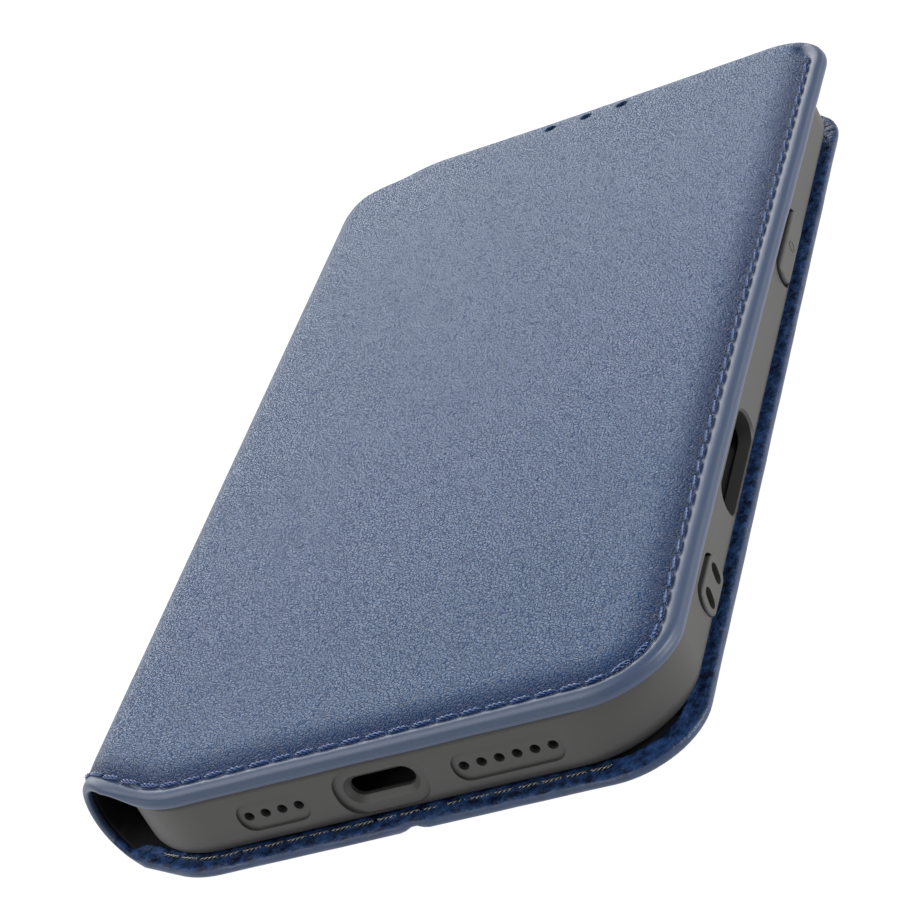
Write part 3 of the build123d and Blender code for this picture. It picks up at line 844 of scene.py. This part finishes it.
front_cloth = lined_cover("front_lining_cloth", FRONT_RIGHT, FRONT_SHIFT, 1, 1.45, FRONT_LINING)
punch_ear_holes(front_cloth, EAR_HOLE_RADIUS)
spine_point, cover_point = bend_points(1)
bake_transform(front_cloth, "spine_upper", "front_cover", start=spine_point, end=cover_point)
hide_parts("front_lining", "spine_lining_upper")
back_cloth = lined_cover("back_lining_cloth", BACK_RIGHT, BACK_SHIFT, -1, 2.25, BACK_LINING)
cut_through(back_cloth, window_outline, 0.2, 2)
spine_point, cover_point = bend_points(-1)
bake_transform(back_cloth, "root", "spine_lower", start=cover_point, end=spine_point)
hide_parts("back_lining", "spine_lining_lower")


def middle_lining_heights(x, station, step):
    """Returns the section of the lining on the spine."""
    return lining_heights(0, SPINE_LINING)((x, 0, 0), station, step)


middle_cloth_mesh = middle_shell(middle_lining_heights, LINING_STATIONS, EDGE_STITCHES * LINING_STEPS)
middle_cloth = finished_piece("middle_lining_cloth", middle_cloth_mesh, lining_cloth)
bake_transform(middle_cloth, "spine_lower", "spine_upper", start=middle_low, end=middle_high)

# ---- The foam under the front leather ---------------------------------------------------------
# A 0.4 mm sheet of closed-cell foam on the front board. The stitching squeezes its edges flat.

foam, tree = new_material("closed_cell_foam_white")
coordinates = add_node(tree, "ShaderNodeTexCoord").outputs["Object"]
cells = add_node(tree, "ShaderNodeTexVoronoi", {"Scale": 2500.0}, {"Vector": coordinates})
cell_bump = add_node(tree, "ShaderNodeBump",
                     {"Strength": 0.4, "Distance": 0.00005},
                     {"Height": cells.outputs["Distance"]})
cell_wall = add_node(tree, "ShaderNodeBsdfPrincipled", {"Base Color": linear("#c9c9c6"), "Roughness": 0.85},
                     {"Normal": cell_bump.outputs["Normal"]})
add_node(tree, "ShaderNodeOutputMaterial", links={"Surface": cell_wall.outputs[0]})
foam_section = [
    (10.7, -0.51), (5.8, -0.73), (4.9, -0.84), (4.5, -0.88), (4.4, -0.893), (4.4, -0.898), (10.7, -0.9),
]
foam_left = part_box("front_padding")[0].x / mm
foam_columns = even_steps(foam_left, FRONT_RIGHT - CORNER_RADIUS, 40)
foam_mesh = cover_shell(FRONT_RIGHT, FRONT_SHIFT, 1, lambda pivot, station, step: foam_section[station],
                        len(foam_section), foam_columns, steps=1)
foam_sheet = finished_piece("foam_sheet", foam_mesh, foam)
punch_ear_holes(foam_sheet, EAR_HOLE_RADIUS + 0.5)
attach(foam_sheet, "front_cover")
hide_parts("front_padding")

# ---- The tray --------------------------------------------------------------------------------
# Injection moulded TPU, a rubbery plastic, dark grey with a fine matte spark finish from the mould.

tpu, tree = new_material("moulded_tpu_dark_grey")
coordinates = add_node(tree, "ShaderNodeTexCoord").outputs["Object"]
spark = add_node(tree, "ShaderNodeTexNoise", {"Scale": 3500.0, "Detail": 3.0}, {"Vector": coordinates})
spark_bump = add_node(tree, "ShaderNodeBump",
                      {"Strength": 0.12, "Distance": 0.00003},
                      {"Height": spark.outputs[0]})
rubber = add_node(tree, "ShaderNodeBsdfPrincipled",
                  {"Base Color": linear("#3f3e3d"), "Roughness": 0.5, "IOR": 1.5},
                  {"Normal": spark_bump.outputs["Normal"]})
add_node(tree, "ShaderNodeOutputMaterial", links={"Surface": rubber.outputs[0]})
for name in ("phone_tray", "power_button", "volume_up_button", "volume_down_button", "action_button"):
    frame["nodes"][name].data.materials[0] = tpu

# The power button carries a small raised ring, so that a finger can find it.
RING_RADIUS = 0.8
RING_TUBE = 0.1
RING_STEPS = 28
RING_SIDES = 8
pad_low, pad_high = (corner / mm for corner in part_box("power_button"))


def ring_point(column, row):
    """Returns a point of the finger ring, which stands in the plane of the tray's right wall."""
    turn, around = 2 * math.pi * column / RING_STEPS, 2 * math.pi * row / RING_SIDES
    reach = RING_RADIUS + RING_TUBE * math.cos(around)
    y = blend_value(pad_low.y, pad_high.y, 0.5) + reach * math.cos(turn)
    z = blend_value(pad_low.z, pad_high.z, 0.5) + reach * math.sin(turn)
    return Vector((pad_high.x - 0.02 + RING_TUBE * math.sin(around), y, z))


ring_mesh = bmesh.new()
shaped_grid(ring_mesh, RING_STEPS, RING_SIDES, ring_point)
finger_ring = finished_piece("power_button_ring", ring_mesh, tpu)
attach(finger_ring, "power_button")

# ---- The boards, the magnets and the adhesive ----------------------------------------------------
# Die-cut grey board made of pressed fibres, nickel-plated magnet plates, and a clear acrylic adhesive
# sheet that holds the tray on the back cover. All of them are closed in.

board, tree = new_material("pressed_grey_board")
coordinates = add_node(tree, "ShaderNodeTexCoord").outputs["Object"]
fibres = add_node(tree, "ShaderNodeTexNoise", {"Scale": 1200.0, "Detail": 5.0, "Roughness": 0.7},
                  {"Vector": coordinates})
fibre_shade = add_node(tree, "ShaderNodeMix", {6: linear("#6f6c66"), 7: linear("#8d8a83")},
                       {0: fibres.outputs[0]}, data_type="RGBA")
pulp = add_node(tree, "ShaderNodeBsdfPrincipled",
                {"Roughness": 0.9},
                {"Base Color": fibre_shade.outputs[2]})
add_node(tree, "ShaderNodeOutputMaterial", links={"Surface": pulp.outputs[0]})
for name in ("back_board_right", "back_board_left", "front_board"):
    frame["nodes"][name].data.materials[0] = board

nickel, tree = new_material("nickel_plate_on_magnet")
coordinates = add_node(tree, "ShaderNodeTexCoord").outputs["Object"]
tumbled = add_node(tree, "ShaderNodeTexNoise", {"Scale": 900.0, "Detail": 3.0}, {"Vector": coordinates})
plate_roughness = add_node(tree, "ShaderNodeMapRange",
                           {"From Min": 0.3, "From Max": 0.7, "To Min": 0.25, "To Max": 0.4},
                           {"Value": tumbled.outputs[0]})
plate = add_node(tree, "ShaderNodeBsdfPrincipled", {"Base Color": linear("#c9c5bc"), "Metallic": 1.0},
                 {"Roughness": plate_roughness.outputs["Result"]})
add_node(tree, "ShaderNodeOutputMaterial", links={"Surface": plate.outputs[0]})
for name in ("front_magnets", "back_magnets"):
    frame["nodes"][name].data.materials[0] = nickel

adhesive, tree = new_material("acrylic_adhesive_film")
coordinates = add_node(tree, "ShaderNodeTexCoord").outputs["Object"]
ripple = add_node(tree, "ShaderNodeTexNoise", {"Scale": 400.0, "Detail": 1.0}, {"Vector": coordinates})
ripple_bump = add_node(tree, "ShaderNodeBump",
                       {"Strength": 0.3, "Distance": 0.00003},
                       {"Height": ripple.outputs[0]})
film = add_node(tree, "ShaderNodeBsdfPrincipled", {"Base Color": linear("#d9d8d2"), "Roughness": 0.3},
                {"Normal": ripple_bump.outputs["Normal"]})
add_node(tree, "ShaderNodeOutputMaterial", links={"Surface": film.outputs[0]})
frame["nodes"]["adhesive_pad"].data.materials[0] = adhesive

# ---- The pockets inside the front cover ------------------------------------------------------------
# Thin smooth synthetic leather, die-cut and glued to the lining round three sides. A heated tool has
# pressed a fine line along the edges. The top edge of each is open for a card or a note.

pocket_leather, tree = new_material("smooth_synthetic_leather_navy")
coordinates = add_node(tree, "ShaderNodeTexCoord").outputs["Object"]
pores = add_node(tree, "ShaderNodeTexVoronoi",
                 {"Scale": 3200.0},
                 {"Vector": coordinates}, feature="DISTANCE_TO_EDGE")
pore_bump = add_node(tree, "ShaderNodeBump",
                     {"Strength": 0.5, "Distance": 0.00003},
                     {"Height": pores.outputs["Distance"]})
coated = add_node(tree, "ShaderNodeBsdfPrincipled", {"Base Color": linear("#24385a"), "Roughness": 0.45},
                  {"Normal": pore_bump.outputs["Normal"]})
add_node(tree, "ShaderNodeOutputMaterial", links={"Surface": coated.outputs[0]})
POCKET_RADIUS = 4.0


def pocket(name, leather_name):
    """Makes one pocket sheet over its plain solid, with its finished face towards the phone."""
    low, high = (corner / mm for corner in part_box(name))
    thick = high.z - low.z
    section = [(2.4, 0.0), (1.45, 0.0), (1.3, 0.05), (1.1, 0.05), (0.95, 0.0), (0.12, 0.0), (0.0, 0.08),
               (0.0, thick - 0.03), (0.05, thick), (2.4, thick)]
    pivots = rounded_pivots(low, high, POCKET_RADIUS, 8)

    def place(column, row):
        x, y, turn = pivots[column]
        inset, depth = section[row]
        reach = POCKET_RADIUS - inset
        return Vector((x + reach * math.cos(turn), y + reach * math.sin(turn), low.z + depth))

    mesh = bmesh.new()
    shaped_grid(mesh, len(pivots) - 1, len(section) - 1, place)
    sheet = finished_piece(leather_name, mesh, pocket_leather)
    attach(sheet, "front_cover")
    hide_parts(name)


pocket("note_pocket", "note_pocket_leather")
for number in (1, 2, 3):
    pocket(f"card_pocket_{number}", f"card_pocket_leather_{number}")
